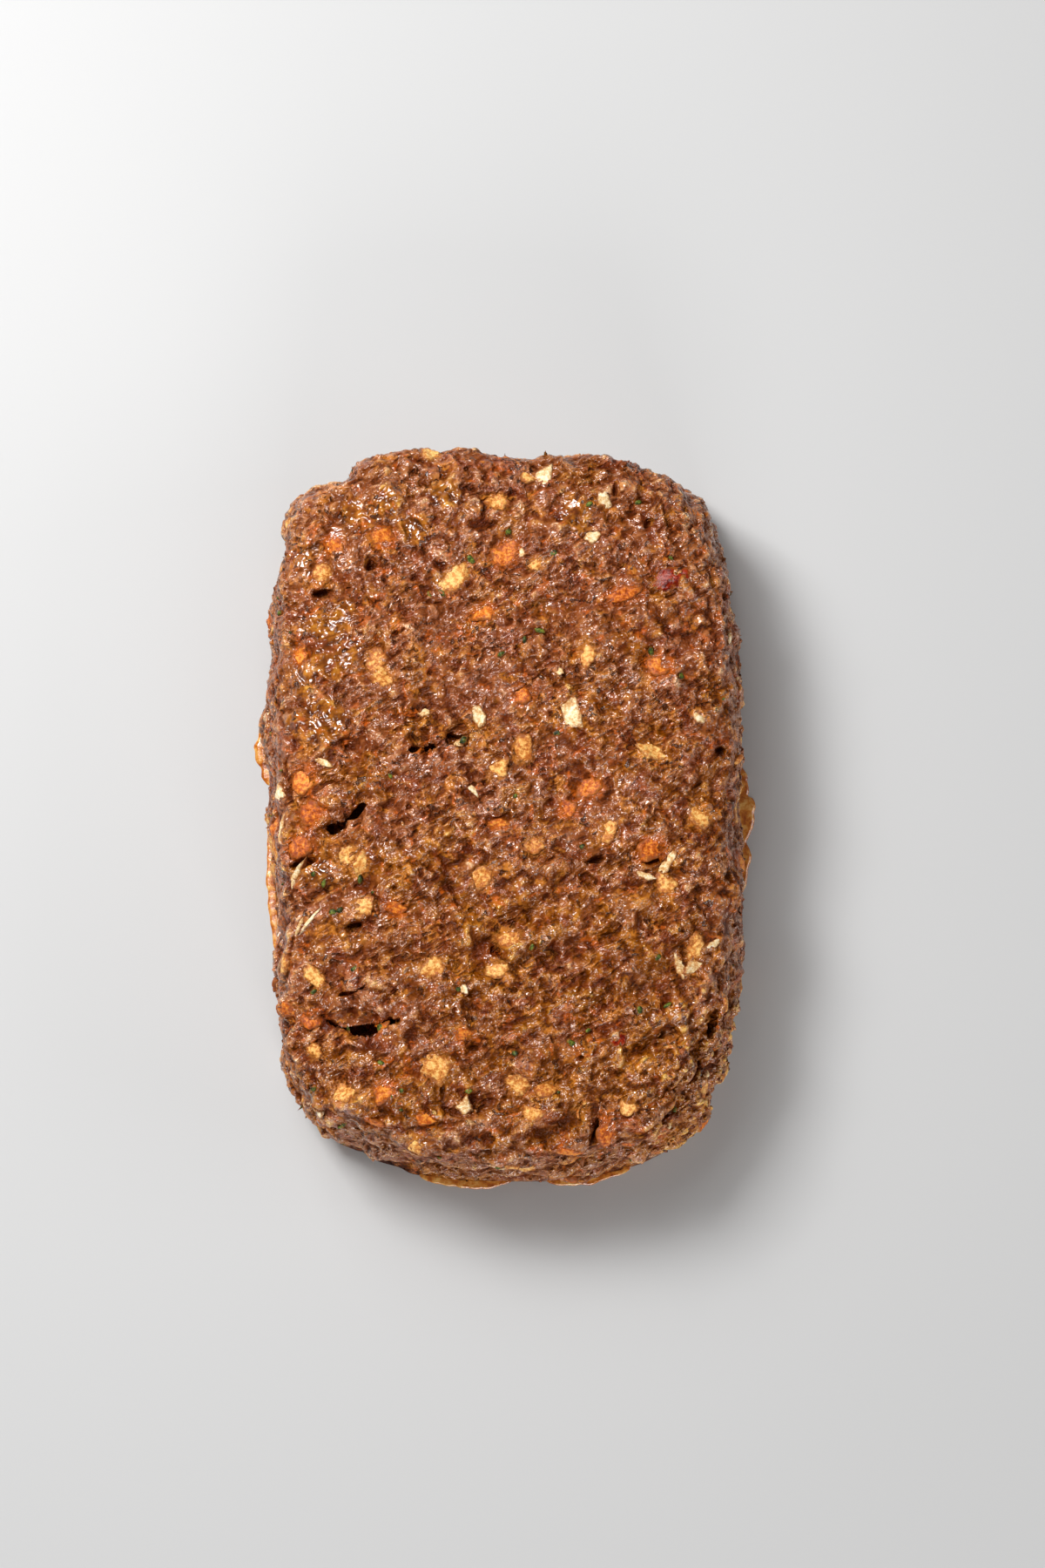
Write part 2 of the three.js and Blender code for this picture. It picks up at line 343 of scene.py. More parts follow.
def smooth_loaf():
    """A fine, even grid over the CAD loaf: a sheet over the top, rings down to the foot."""
    cad_points = [tuple(vertex.co / METRES) for vertex in CAD_LOAF.data.vertices]
    cad_faces = [tuple(face.vertices) for face in CAD_LOAF.data.polygons]
    tree = BVHTree.FromPolygons(cad_points, cad_faces)

    count_u = round((WIDTH - 2 * TOP_INSET) / TOP_CELL)
    count_v = round((LENGTH - 2 * TOP_INSET) / TOP_CELL)
    v, u = np.meshgrid(np.linspace(-1, 1, count_v + 1), np.linspace(-1, 1, count_u + 1), indexing="ij")
    x, y = plan(u.ravel(), v.ravel(), TOP_INSET)
    starts = np.stack([x, y, np.full(len(x), CORE_HEIGHT)], axis=1)
    directions = np.tile([0.0, 0.0, 1.0], (len(x), 1))
    index = np.arange(len(x)).reshape(count_v + 1, count_u + 1)
    quads = [np.stack([index[:-1, :-1], index[:-1, 1:], index[1:, 1:], index[1:, :-1]], -1).reshape(-1, 4)]
    edge = np.concatenate([index[0, :-1], index[:-1, -1], index[-1, :0:-1], index[:0:-1, 0]])

    outward = np.stack(
        [
            np.sign(starts[edge, axis]) * np.abs(starts[edge, axis] / half) ** (SQUARENESS - 1) / half
            for axis, half in ((0, WIDTH / 2 - TOP_INSET), (1, LENGTH / 2 - TOP_INSET))
        ],
        axis=1,
    )
    outward /= np.linalg.norm(outward, axis=1, keepdims=True)
    all_starts, all_directions = [starts], [directions]
    inner = edge
    count = len(starts)
    for out, up in section_rays():
        all_starts.append(starts[edge])
        all_directions.append(np.column_stack([outward * out, np.full(len(edge), up)]))
        outer = np.arange(count, count + len(edge))
        quads.append(np.stack([inner, outer, np.roll(outer, -1), np.roll(inner, -1)], axis=1))
        inner = outer
        count += len(edge)
    points = cast_to_cad(tree, np.concatenate(all_starts), np.concatenate(all_directions))
    quads = np.concatenate(quads)
    foot = inner
    points[foot, 2] = 0
    fixed = points[foot].copy()
    points = smoothed(points, quads, SMOOTHING_PASSES)
    points[foot] = fixed
    return points, quads, foot


# ---------------------------------------------------------------- relief

def billows(points, cell, seed):
    """Rounded lumps with sharp creases between them, from 0 in a crease to about 1 on a lump."""
    return np.abs(noise(points, cell, seed)) ** 0.75


def pebbles(points, cell, seed):
    """Rounded lumps of uneven height, packed side by side, from 0 between them to 1."""
    first, second, label = cells(points, cell, seed)
    return smoothstep(second - first, 0, 0.55) * (0.35 + 0.65 * label) * (1 - 0.35 * first**2)


def strands(points, clump, width, seed):
    """Short fibres that lie side by side, with a new direction in each clump."""
    _, _, label = cells(points, clump, seed)
    turn = 2 * math.pi * label
    direction = np.stack([np.cos(turn), np.sin(turn), 0.7 * np.cos(7 * turn)], axis=1)
    direction /= np.linalg.norm(direction, axis=1, keepdims=True)
    along = (points * direction).sum(axis=1, keepdims=True)
    return noise(points - 0.72 * along * direction + 30 * label[:, None], width, seed)


def on_top(points):
    """1 on the top, and 0 from halfway down the flanks."""
    return smoothstep(points[:, 2], 0.5 * HEIGHT, 0.65 * HEIGHT)


def along_and_across(points, x, y, turn):
    """Offsets from a place on the top, along and across a direction given in degrees from +X."""
    dx, dy = points[:, 0] - x, points[:, 1] - y
    angle = math.radians(turn)
    return dx * math.cos(angle) + dy * math.sin(angle), dy * math.cos(angle) - dx * math.sin(angle)


def hole_depths(points):
    """How deep the holes and splits are at each point of the top, and how far into one it is, from 0 to 1."""
    depth = np.zeros(len(points))
    inside = np.zeros(len(points))
    wobble = 0.24 * noise(points, 3.4, 41) + 0.14 * noise(points, 1.5, 42)
    for x, y, length, width, deep, turn, bend, taper in HOLES:
        near = np.hypot(points[:, 0] - x, points[:, 1] - y) < length + 3
        along, across = along_and_across(points[near], x, y, turn)
        along /= 0.5 * length
        across += bend * along**2
        half_width = 0.5 * width * np.clip(1 + taper * along, 0.2, 2)
        raggedness = min(1.5, width / 3.2)
        away = np.hypot(along, across / half_width) + wobble[near] * raggedness
        share = 1 - smoothstep(away, 0.55, 1.15)
        depth[near] = np.maximum(depth[near], deep * share)
        inside[near] = np.maximum(inside[near], share)
    top = on_top(points)
    return depth * top, inside * top


def fill_height(points):
    """How much of the CAD loaf's splits is filled again at each point of the top."""
    height = np.zeros(len(points))
    for x, y, half_length, half_width, turn, rise in FILLS:
        along, across = along_and_across(points, x, y, turn)
        away = (along / half_length) ** 2 + (across / half_width) ** 2
        height = np.maximum(height, rise * np.exp(-(away**2)))
    return height * on_top(points)


def seat_share(points, bits, reach=1.0):
    """How far each point lies inside the seats of chopped pieces, widened by reach, from 0 to 1."""
    share = np.zeros(len(points))
    for bit in bits:
        away = points - bit["middle"]
        near = np.abs(away).max(axis=1) < bit["length"] * reach
        along = away[near] @ bit["along"] / (0.5 * bit["length"])
        across = away[near] @ bit["across"] / (0.5 * bit["width"])
        distance = np.hypot(along, across) / reach
        share[near] = np.maximum(share[near], 1 - smoothstep(distance, *SEAT_EDGE))
    return share


def wet_share(points):
    """Where juice lies on the top, from 0 to 1."""
    wet = np.zeros(len(points))
    ragged = 0.45 * noise(points, 6, 12)
    for x, y, radius in WET:
        away = np.hypot(points[:, 0] - x, points[:, 1] - y) / radius + ragged
        wet = np.maximum(wet, 1 - smoothstep(away, 0.5, 1.1))
    return wet * smoothstep(points[:, 2], 0.5 * HEIGHT, 0.7 * HEIGHT)


def torn_share(points):
    """How ragged the meat is: most at the front right corner, some along the foot and the edges."""
    x, y = TORN_MIDDLE
    corner = 1 - smoothstep(np.hypot(points[:, 0] - x, 0.7 * (points[:, 1] - y)), *TORN_REACH)
    side = smoothstep(np.hypot(points[:, 0] / WIDTH, points[:, 1] / LENGTH), 0.4, 0.55)
    return np.clip(corner + 0.35 * side, 0, 1)


def packed_relief(points):
    """Height of the meat's lumps, furrows, fibres, torn ridges and pits, and the shares of fold and pit."""
    warp = np.stack([noise(points, 7, 11 + axis) for axis in range(3)], axis=1)
    bent = points + 1.6 * warp
    lumpy = smoothstep(noise(points, 24, 3), -0.4, 0.5)
    crumbly = 0.35 + 0.65 * smoothstep(noise(points, 15, 10), -0.3, 0.4)
    torn = torn_share(points)
    drawn = bent @ turned_stretch(FURROW_TURN, 0.55)

    cell, rise, more = BROAD_LUMPS
    height = (rise + more * lumpy) * billows(bent, cell, 1)
    cell, rise, more = LUMPS
    height += (rise + more * lumpy) * pebbles(bent, cell, 60)
    cell, rise, more = CRUMBS
    height += (rise * crumbly + more * torn) * pebbles(drawn, cell, 61)
    cell, rise, more = GRIT
    height += (rise * crumbly + more * torn) * billows(drawn, cell, 4)
    clump, width, rise = STRANDS
    height += rise * strands(bent, clump, width, 8)
    cell, rise = SWELLS
    height += rise * noise(points, cell, 5)
    cell, rise = FURROWS
    in_front = 1 - smoothstep(points[:, 1], *FURROW_ENDS)
    height += rise * in_front * noise(points @ turned_stretch(FURROW_TURN, 0.3), cell, 16)

    cell, depth = FOLDS
    fold = smoothstep(1 - np.abs(noise(points + 5 * warp, cell, 7)), 0.88, 1.0)
    fold *= smoothstep(noise(points, 19, 6), -0.1, 0.4)
    height -= depth * fold
    cell, rise = TORN_RIDGES
    ragged = billows(points @ turned_stretch(TORN_TURN, 0.4), cell, 9)
    height += rise * torn * (ragged - 0.55)
    cell, depth = PITS
    pit_away, _, pit_label = cells(points, cell, 4)
    pit = (1 - smoothstep(pit_away, 0.05, 0.2)) * (pit_label > 0.72)
    height -= depth * pit
    return height, fold, pit


def corner_lumps(points):
    """Height of the corners' lumps and dents."""
    height = np.zeros(len(points))
    for x, y, radius, rise in CORNER_LUMPS:
        away = np.hypot(points[:, 0] - x, points[:, 1] - y) / radius
        height += rise * np.exp(-(away**2))
    return height


def meat_relief(points, quads, seats):
    """Height of the meat over the smooth loaf, that height evened out, and a tone of painted shade.

    The tone is 0.5 on the level, more on lumps, and less in creases and holes: painted shade and light that
    the colour takes from the relief."""
    height, fold, pit = packed_relief(points)
    height += corner_lumps(points)
    edge_loss = FLANK_LOSS + END_LOSS * smoothstep(np.abs(points[:, 1]), 0.42 * LENGTH, 0.48 * LENGTH)
    below_top = 1 - smoothstep(points[:, 2], 0.5 * HEIGHT, 0.88 * HEIGHT)
    height -= height.mean() + TOP_LOSS + edge_loss * below_top
    pool = 0.1 + 0.5 * noise(points, 6, 15)
    height += POOL_LEVELLING * wet_share(points) * (np.maximum(height, pool) - height)
    height = height * (1 - SEAT_LEVELLING * seats) - SEAT_DEPTH * seats
    level = smoothed(height, quads, LEVELLING_PASSES)
    # Painted shade and light: the tone is darker in creases, folds and pits and lighter on lumps, and darker
    # again inside the holes below
    painted_shade_and_tone = np.clip(0.5 + 0.46 * (height - level) - 0.2 * fold - 0.25 * pit, 0, 1)
    depth, inside = hole_depths(points)
    filling = fill_height(points)
    return height + filling - depth, level + filling, painted_shade_and_tone * (1 - 0.75 * inside)


def turned_stretch(degrees, share):
    """A matrix that squeezes places along one flat direction, so that noise there is drawn out along it."""
    angle = math.radians(degrees)
    along = np.array([math.cos(angle), math.sin(angle), 0])
    return np.eye(3) - (1 - share) * np.outer(along, along)


# ---------------------------------------------------------------- chopped pieces

def place_bits(tree, listed):
    """The listed pieces, set on the smooth loaf, each with its own frame."""
    bits = []
    for x, y, length, width, turn in listed:
        point, normal, _, _ = tree.ray_cast((x, y, 2 * HEIGHT), (0, 0, -1))
        angle = math.radians(turn)
        bits.append(frame_of(point, normal, (math.cos(angle), math.sin(angle), 0), length, width))
    return bits


def frame_of(point, normal, along, length, width):
    """A piece's place and directions on the surface."""
    normal = np.array(normal)
    along = np.array(along, float)
    along -= normal * (along @ normal)
    along /= np.linalg.norm(along)
    return {
        "middle": np.array(point),
        "normal": normal,
        "along": along,
        "across": np.cross(normal, along),
        "length": length,
        "width": width,
    }


def scatter_bits(rng, points, quads, weights, count, sizes):
    """Pieces at random on the surface, by weight."""
    middles = points[quads].mean(axis=1)
    normals = vertex_normals(points, quads)[quads[:, 0]]
    a, b, c, d = (points[quads[:, n]] for n in range(4))
    share = np.linalg.norm(np.cross(c - a, d - b), axis=1) * weights
    chosen = rng.choice(len(quads), count, replace=False, p=share / share.sum())
    bits = []
    for n in chosen:
        along = rng.normal(size=3)
        length = rng.uniform(*sizes)
        bits.append(frame_of(middles[n], normals[n], along, length, length * rng.uniform(0.55, 0.95)))
    return bits


def chunk_outline(rng, angles, squareness):
    """The reach of a roughly cut chunk in each direction: a few flat cuts, rounded where they meet."""
    count = rng.integers(4, 7)
    turns = (np.arange(count) + rng.uniform(-0.25, 0.25, count)) * 2 * math.pi / count
    turns += rng.uniform(0, math.pi)
    depths = rng.uniform(0.95, 1.35, count)
    facing = np.maximum(np.cos(angles[:, None] - turns), 1e-6) / depths
    ripple = 0
    for order in (5, 8, 11):
        ripple += rng.uniform(0, 0.06) * np.sin(order * angles + rng.uniform(0, 2 * math.pi))
    return (facing**squareness).sum(axis=1) ** (-1 / squareness) * (1 + ripple)


def bit_mesh(rng, surface, bits, rings, sectors, proud, skirt, lean, squareness, rough):
    """Domed pieces that follow the meat under them, with an uneven outline and a skirt down into the meat."""
    tree, quads, level = surface
    all_points, faces, tints = [], [], []
    radii = np.linspace(0, 1, rings + 1)[1:]
    angles = np.arange(sectors) * 2 * math.pi / sectors
    for bit in bits:
        start = sum(len(p) for p in all_points)
        outline = chunk_outline(rng, angles, squareness)
        rho = np.concatenate([[0], np.repeat(radii, sectors), np.full(sectors, 1.0)])
        theta = np.concatenate([[0], np.tile(angles, rings), angles])
        reach = np.concatenate([[1], np.tile(outline, rings), outline * 0.9])
        along = rho * reach * np.cos(theta) * bit["length"] / 2
        across = rho * reach * np.sin(theta) * bit["width"] / 2
        flat = bit["middle"] + np.outer(along, bit["along"]) + np.outer(across, bit["across"])
        tilt = lean * (rng.normal() * along / bit["length"] + rng.normal() * across / bit["width"])
        up = proud * rng.uniform(0.3, 1.2) * (1 - rho**5) - 0.5 * rho**8 + tilt
        up = up + rough * noise(flat, 1.6, 21) + 0.5 * rough * noise(flat, 0.8, 22)
        up[-sectors:] = -skirt
        placed = np.empty_like(flat)
        for n, point in enumerate(flat.tolist()):
            spot, normal, face, _ = tree.find_nearest(point)
            placed[n] = np.array(spot) + (up[n] + level[quads[face, 0]]) * np.array(normal)
        bottom = bit["middle"] - skirt * bit["normal"]
        all_points.append(np.vstack([placed, bottom]))
        ring = [start + 1 + r * sectors + np.arange(sectors) for r in range(rings + 1)]
        faces += [(start, int(a), int(b)) for a, b in zip(ring[0], np.roll(ring[0], -1))]
        for inner, outer in zip(ring[:-1], ring[1:]):
            quad = np.stack([inner, outer, np.roll(outer, -1), np.roll(inner, -1)], axis=1)
            faces += [tuple(q) for q in quad.tolist()]
        last = start + len(placed)
        faces += [(int(b), int(a), last) for a, b in zip(ring[-1], np.roll(ring[-1], -1))]
        tint = np.tile([0, rng.uniform(), rng.uniform(), 1.0], (len(placed) + 1, 1))
        tint[:-1, 0] = rho
        tint[-1, 0] = 1
        tints.append(tint)
    return np.vstack(all_points), faces, np.vstack(tints)


def icosphere():
    """Points and faces of a ball of 80 triangles."""
    ball = bmesh.new()
    bmesh.ops.create_icosphere(ball, subdivisions=2, radius=1)
    points = np.array([vertex.co for vertex in ball.verts])
    faces = np.array([[vertex.index for vertex in face.verts] for face in ball.faces])
    ball.free()
    return points, faces


def grain_mesh(rng, spots, normals, sizes):
    """Small uneven lumps, part sunk in the surface."""
    ball, ball_faces = icosphere()
    count = len(spots)
    points = np.empty((count, len(ball), 3))
    masks = np.empty((count, len(ball), 4))
    for n in range(count):
        axes, _ = np.linalg.qr(rng.normal(size=(3, 3)))
        stretch = np.array([1.0, rng.uniform(0.6, 0.95), rng.uniform(0.45, 0.8)])
        lump = ball * (1 + 0.35 * noise(ball + 7.3 * n, 0.9, 31)[:, None])
        sunk = normals[n] * sizes[n] * rng.uniform(0.0, 0.3)
        points[n] = spots[n] + (lump * stretch * sizes[n] / 2) @ axes - sunk
        masks[n] = (rng.uniform(0.45, 0.75), rng.uniform(), 0, 1)
    points[..., 2] = np.maximum(points[..., 2], 0)
    faces = (ball_faces[None] + len(ball) * np.arange(count)[:, None, None]).reshape(-1, 3)
    return points.reshape(-1, 3), faces.tolist(), masks.reshape(-1, 4)


def scatter_grains(rng, points, quads, weights, count):
    """Crumbs of meat that stand on the surface, by weight."""
    middles = points[quads].mean(axis=1)
    normals = vertex_normals(points, quads)[quads[:, 0]]
    chosen = rng.choice(len(quads), count, replace=False, p=weights / weights.sum())
    sizes = rng.uniform(1.1, 2.0, count) * rng.uniform(0.8, 1.5, count)
    return grain_mesh(rng, middles[chosen], normals[chosen], sizes)


def juice_film(points, foot):
    """A thin film of set juice that has run out along parts of the foot, as one closed band for each run."""
    place = points[foot]
    following = np.roll(place, -1, axis=0) - np.roll(place, 1, axis=0)
    outward = np.stack([following[:, 1], -following[:, 0], np.zeros(len(foot))], axis=1)
    outward /= np.linalg.norm(outward, axis=1, keepdims=True)
    ragged = 1 + 0.5 * noise(place, 9, 51) + 0.25 * noise(place, 3, 52)
    up = np.array([0, 0, 1])
    sides = {
        "left": (1, place[:, 0] < -55),
        "right": (1, place[:, 0] > 55),
        "front": (0, place[:, 1] < -90),
        "back": (0, place[:, 1] > 90),
    }
    all_points, faces = [], []
    for side, start, end, reach in JUICE_RUNS:
        axis, on_side = sides[side]
        run = np.flatnonzero(on_side & (place[:, axis] > start) & (place[:, axis] < end))
        if run[0] == 0 and run[-1] == len(foot) - 1:
            run = np.roll(run, -(np.flatnonzero(np.diff(run) > 1)[0] + 1))
        share = np.sin(np.linspace(0, math.pi, len(run))) ** 0.5
        width = (reach * share * np.clip(ragged[run], 0.3, 1.6))[:, None]
        band = []
        for out, part, rise in JUICE_SECTION:
            band.append(place[run] + (out + part * width) * outward[run] + rise * up)
        corners = len(band)
        first = sum(len(p) for p in all_points)
        all_points.append(np.stack(band, axis=1).reshape(-1, 3))
        rows = first + np.arange(len(run) * corners).reshape(-1, corners)
        for row, next_row in zip(rows[:-1].tolist(), rows[1:].tolist()):
            for k in range(corners):
                after = (k + 1) % corners
                faces.append((row[k], row[after], next_row[after], next_row[k]))
        faces += [tuple(rows[0, ::-1].tolist()), tuple(rows[-1].tolist())]
    return np.vstack(all_points), faces


# ---------------------------------------------------------------- materials

def linear(red, green, blue):
    """A colour given as on screen, from 0 to 255, in linear light."""
    shares = [channel / 255 for channel in (red, green, blue)]
    return [((c + 0.055) / 1.055) ** 2.4 if c > 0.04 else c / 12.92 for c in shares] + [1]


class Shader:
    """A material's node tree, with short ways to add and link nodes.

    A value is a number or another node's output."""

    def __init__(self, name, roughness, **settings):
        self.material = bpy.data.materials.new(name)
        self.material.use_nodes = True
        self.tree = self.material.node_tree
        self.surface = self.tree.nodes["Principled BSDF"]
        self.surface.inputs["Roughness"].default_value = roughness
        for key, value in settings.items():
            self.surface.inputs[key.replace("_", " ")].default_value = value
        self.place = self.add("ShaderNodeTexCoord").outputs["Object"]

    def add(self, kind, settings=None, **inputs):
        """A new node, with its inputs by name, or by number after an underscore."""
        node = self.tree.nodes.new(kind)
        for key, value in (settings or {}).items():
            setattr(node, key, value)
        for key, value in inputs.items():
            self.put(node.inputs[int(key[1:])] if key[0] == "_" else node.inputs[key], value)
        return node

    def put(self, socket, value):
        if isinstance(value, bpy.types.NodeSocket):
            self.tree.links.new(value, socket)
        else:
            socket.default_value = value

    def noise(self, size_mm, detail=3, roughness=0.6, distortion=0.0):
        """Noise from 0 to 1 whose coarsest cells have the given size."""
        node = self.add(
            "ShaderNodeTexNoise",
            Vector=self.place,
            Scale=1 / (size_mm * METRES),
            Detail=detail,
            Roughness=roughness,
            Distortion=distortion,
        )
        return node.outputs["Fac"]

    def fibres(self, size_mm, turn, share):
        """Noise drawn out along one direction, which swirls from place to place."""
        swirl_mm, swirl_reach_mm = 8, 5.6
        curl = self.add("ShaderNodeTexNoise", Vector=self.place, Scale=1 / (swirl_mm * METRES), Detail=1)
        bend = self.add("ShaderNodeVectorMath", {"operation": "SCALE"}, Vector=curl.outputs["Color"])
        bend.inputs["Scale"].default_value = swirl_reach_mm * METRES
        bend = bend.outputs["Vector"]
        moved = self.add("ShaderNodeVectorMath", {"operation": "ADD"}, _0=self.place, _1=bend)
        mapping = self.add("ShaderNodeMapping", {"vector_type": "TEXTURE"}, Vector=moved.outputs["Vector"])
        mapping.inputs["Rotation"].default_value = (0, 0, math.radians(turn))
        mapping.inputs["Scale"].default_value = (1 / share, 1, 1)
        node = self.add(
            "ShaderNodeTexNoise",
            Vector=mapping.outputs["Vector"],
            Scale=1 / (size_mm * METRES),
            Detail=1,
            Roughness=0.5,
        )
        return node.outputs["Fac"]

    def math(self, operation, a, b, clamp=False):
        settings = {"operation": operation, "use_clamp": clamp}
        return self.add("ShaderNodeMath", settings, _0=a, _1=b).outputs[0]

    def plus(self, a, b, clamp=False):
        return self.math("ADD", a, b, clamp)

    def minus(self, a, b, clamp=False):
        return self.math("SUBTRACT", a, b, clamp)

    def times(self, a, b):
        return self.math("MULTIPLY", a, b)

    def larger(self, a, b):
        return self.math("MAXIMUM", a, b)

    def spread(self, value, low, high, to_low=0.0, to_high=1.0):
        """An even rise from to_low at low to to_high at high."""
        node = self.add("ShaderNodeMapRange", {"interpolation_type": "SMOOTHSTEP"}, Value=value)
        for key, number in (("From Min", low), ("From Max", high), ("To Min", to_low), ("To Max", to_high)):
            self.put(node.inputs[key], number)
        return node.outputs["Result"]

    def ramp(self, value, stops):
        """A colour by value, from stops of place and screen colour."""
        node = self.add("ShaderNodeValToRGB", Fac=value)
        ramp = node.color_ramp
        while len(ramp.elements) < len(stops):
            ramp.elements.new(0.5)
        for element, (position, colour) in zip(ramp.elements, stops):
            element.position = position
            element.color = linear(*colour)
        return node.outputs["Color"]

    def mix(self, share, a, b):
        """Two colours mixed, each a node's output or a screen colour; inputs 6 and 7 are the colour ones."""
        node = self.add("ShaderNodeMix", {"data_type": "RGBA"})
        self.put(node.inputs[0], share)
        self.put(node.inputs[6], linear(*a) if isinstance(a, tuple) else a)
        self.put(node.inputs[7], linear(*b) if isinstance(b, tuple) else b)
        return node.outputs[2]

    def masks(self, name):
        """The three channels of a colour attribute of the mesh."""
        attribute = self.add("ShaderNodeAttribute", {"attribute_name": name})
        return list(self.add("ShaderNodeSeparateColor", Color=attribute.outputs["Color"]).outputs)[:3]

    def bump(self, height, distance_mm):
        """Normals bent by a height from 0 to 1, where 1 is the given distance."""
        node = self.add("ShaderNodeBump", Height=height, Distance=distance_mm * METRES, Strength=1)
        self.put(self.surface.inputs["Normal"], node.outputs["Normal"])
        return node.outputs["Normal"]

    def finish(self, **links):
        """The material, once these inputs of its surface are set."""
        for key, value in links.items():
            self.put(self.surface.inputs[key.replace("_", " ")], value)
        return self.material


# Stops of place and screen colour, from dark creases to light lumps; the lightness that picks them holds
# painted shade in creases and painted light on lumps
LEAN_STOPS = [
    (0, (84, 34, 10)), (0.25, (116, 57, 24)), (0.5, (146, 80, 41)),
    (0.75, (178, 111, 70)), (1, (222, 172, 130)),
]
GOLDEN_STOPS = [
    (0, (80, 34, 0)), (0.25, (118, 58, 4)), (0.5, (154, 86, 14)),
    (0.75, (188, 118, 34)), (1, (230, 176, 84)),
]
RED_STOPS = [
    (0, (80, 26, 4)), (0.25, (110, 46, 16)), (0.5, (140, 66, 32)),
    (0.75, (170, 94, 54)), (1, (212, 144, 98)),
]
GOLDEN_FAT = (204, 124, 42)
ORANGE_FAT = (196, 90, 20)
# Painted shade in the small pits
PIT_SHADE = (66, 28, 8)
CARROT_STAIN = (190, 90, 20)
BREAD_STAIN = (196, 122, 48)
RIM_STAIN = (142, 76, 28)
JUICE_STOPS = [(0, (150, 66, 8)), (0.5, (200, 118, 32)), (1, (228, 176, 96))]
BREAD_STOPS = [(0, (168, 88, 26)), (0.45, (216, 142, 64)), (1, (246, 200, 120))]
CARROT_STOPS = [(0, (140, 56, 4)), (0.5, (202, 98, 18)), (1, (234, 150, 56))]
ONION_STOPS = [(0, (200, 144, 84)), (0.5, (236, 204, 148)), (1, (250, 236, 206))]
HERB_STOPS = [(0, (20, 30, 3)), (0.5, (58, 70, 14)), (1, (118, 126, 44))]
PEPPER_STOPS = [(0, (60, 6, 0)), (0.5, (104, 16, 2)), (1, (150, 44, 12))]


def meat_colour(shader, lightness, streaks, grain, pits, masks, stains):
    """Pinkish where lean, golden where fat has browned, red brown in places, and stained round the pieces."""
    _, browned, wet = masks
    bready, orange, torn = stains
    patch = shader.spread(shader.noise(13, 3, 0.6, 0.8), 0.42, 0.62, -0.2, 0.65)
    golden = shader.plus(shader.times(browned, 0.6), patch, clamp=True)
    golden = shader.larger(golden, shader.larger(wet, torn))
    red = shader.spread(shader.noise(7, 3, 0.65, 0.6), 0.5, 0.64, 0, 0.8)
    colour = shader.mix(golden, shader.ramp(lightness, LEAN_STOPS), shader.ramp(lightness, GOLDEN_STOPS))
    colour = shader.mix(red, colour, shader.ramp(lightness, RED_STOPS))

    fat = shader.spread(shader.noise(6, 3, 0.6, 0.4), 0.54, 0.68)
    fat = shader.times(fat, shader.spread(streaks, 0.38, 0.56))
    colour = shader.mix(shader.times(fat, 0.75), colour, GOLDEN_FAT)
    fat = shader.spread(shader.noise(5, 2, 0.6, 0.7), 0.58, 0.7)
    fat = shader.times(fat, shader.spread(streaks, 0.4, 0.56))
    colour = shader.mix(shader.times(fat, 0.7), colour, ORANGE_FAT)
    # Painted shade: the pits' dents are darkened in the colour
    colour = shader.mix(pits, colour, PIT_SHADE)

    broken = shader.spread(shader.noise(4, 2, 0.6, 0.8), 0.4, 0.6, 0.2, 1)
    stain = shader.spread(shader.plus(grain, shader.times(orange, 0.3)), 0.5, 0.95)
    stain = shader.times(shader.times(stain, broken), orange)
    colour = shader.mix(stain, colour, CARROT_STAIN)
    stain = shader.spread(shader.plus(grain, shader.times(bready, 0.3)), 0.5, 0.95, 0, 0.6)
    return shader.mix(shader.times(stain, bready), colour, BREAD_STAIN)


